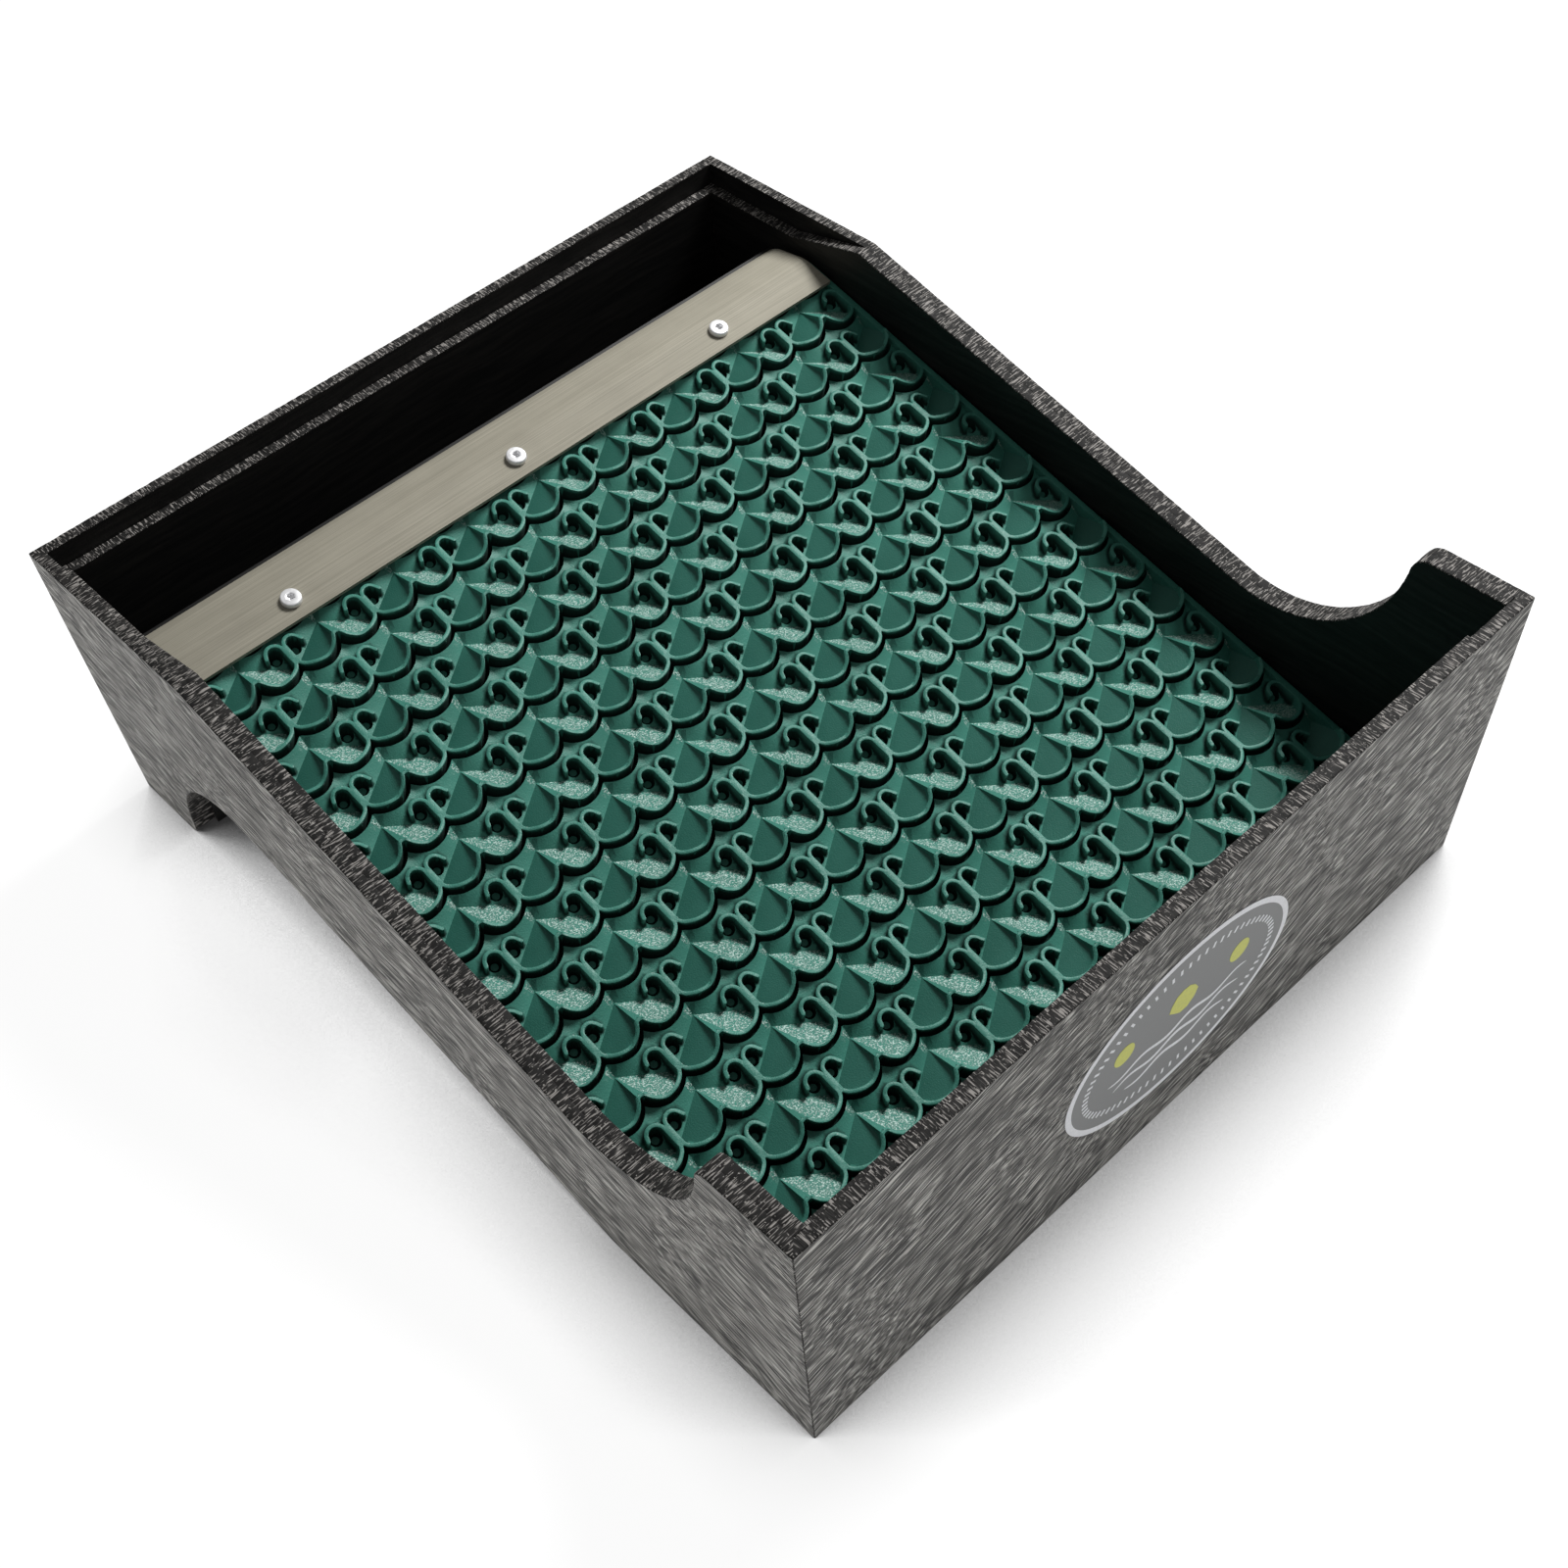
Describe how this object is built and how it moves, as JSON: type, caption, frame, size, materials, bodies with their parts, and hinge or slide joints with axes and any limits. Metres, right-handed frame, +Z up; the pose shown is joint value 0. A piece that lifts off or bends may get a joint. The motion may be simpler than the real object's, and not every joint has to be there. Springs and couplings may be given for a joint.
{
  "type": "gold pan",
  "caption": "Open box-shaped gold pan with scooped sides, a sloped green riffle mat under a clamp strip, and a deep trap at the back.",
  "frame": {"origin": "centre of the box's footprint on the ground, at the height of the bottom edges it stands on", "axes": "+X to the right across the width, +Y along the length from the label wall at the front to the trap at the back, +Z up"},
  "size_m": [0.32, 0.3824, 0.121],
  "materials": {
    "brown_board": "streaked brown-grey board, satin",
    "black_board": "black board, faint streaks, satin",
    "green_rubber": "moulded teal rubber, fine grain",
    "strip_metal": "warm grey, brushed lengthwise",
    "fastener_steel": "bright plated steel",
    "label_vinyl": "grey label with a silver rim"
  },
  "bodies": {
    "root": {"side_panel_left": "brown_board", "side_panel_right": "brown_board", "front_panel": "brown_board", "back_panel": "brown_board", "side_liner_left": "black_board", "side_liner_right": "black_board", "back_liner": "black_board", "front_liner": "black_board", "floor_plate": "black_board", "trap_riser": "black_board", "trap_floor": "black_board", "riffle_mat": "green_rubber", "clamp_strip": "strip_metal", "clamp_screws": "fastener_steel", "clamp_washers": "fastener_steel", "clamp_nuts": "fastener_steel", "oval_label": "label_vinyl"}
  },
  "joints": []
}
